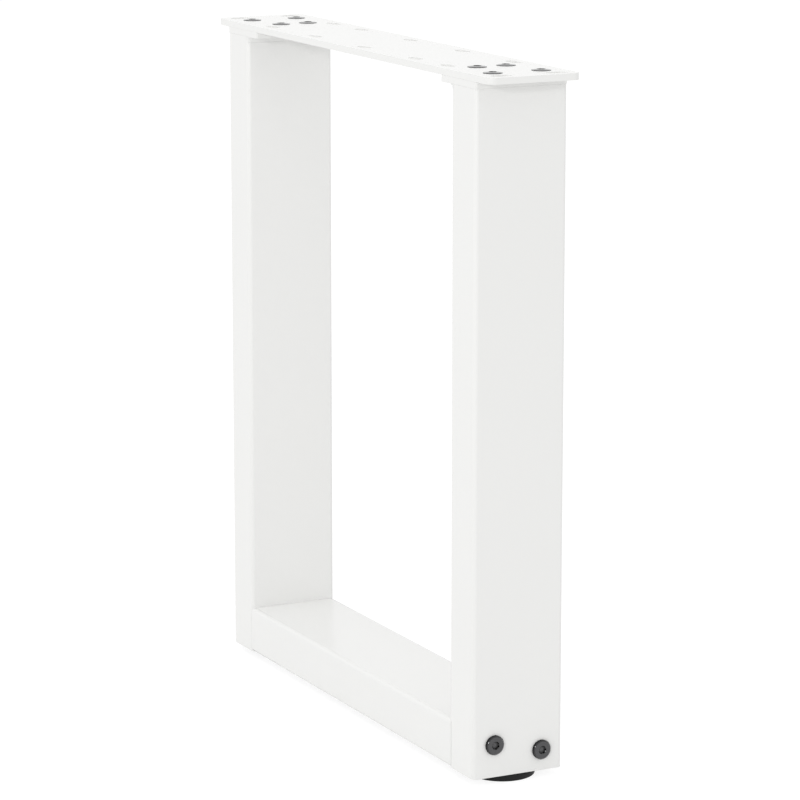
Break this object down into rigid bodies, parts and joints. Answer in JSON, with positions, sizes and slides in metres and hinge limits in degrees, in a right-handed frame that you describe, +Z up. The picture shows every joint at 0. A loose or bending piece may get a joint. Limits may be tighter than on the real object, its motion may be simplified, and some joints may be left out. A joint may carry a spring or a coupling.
{
  "type": "u shaped table leg",
  "caption": "White powder-coated steel U-frame table leg: flat tube posts and foot bar bolted together, a slotted plate on top and black levelling feet below.",
  "frame": {"origin": "on the floor, under the middle of the leg", "axes": "+X along the leg from post to post, +Y from its front to its back, +Z up"},
  "size_m": [0.377, 0.06, 0.4237],
  "materials": {
    "white_paint": "satin powder coat",
    "black_steel": "black oxide",
    "plated_steel": "bright zinc",
    "foot_plastic": "fine matt"
  },
  "bodies": {
    "frame": {"top_plate": "white_paint", "bottom_bar": "white_paint", "outer_top_screws": "black_steel", "inner_top_screws": "black_steel", "upper_side_bolts": "black_steel", "lower_side_bolts": "black_steel", "right_post": "white_paint", "right_flange": "white_paint", "right_flange_weld": "white_paint", "right_bar_plate": "white_paint", "right_foot_plate": "white_paint", "left_post": "white_paint", "left_flange": "white_paint", "left_flange_weld": "white_paint", "left_bar_plate": "white_paint", "left_foot_plate": "white_paint"},
    "right_foot": {"right_foot_stud": "plated_steel", "right_foot_pad": "foot_plastic"},
    "left_foot": {"left_foot_stud": "plated_steel", "left_foot_pad": "foot_plastic"}
  },
  "joints": [
    {"name": "right_foot_screw", "type": "slide", "parent": "frame", "child": "right_foot", "axis": [0, 0, -1], "range_m": [0, 0.01]},
    {"name": "left_foot_screw", "type": "slide", "parent": "frame", "child": "left_foot", "axis": [0, 0, -1], "range_m": [0, 0.01]}
  ]
}
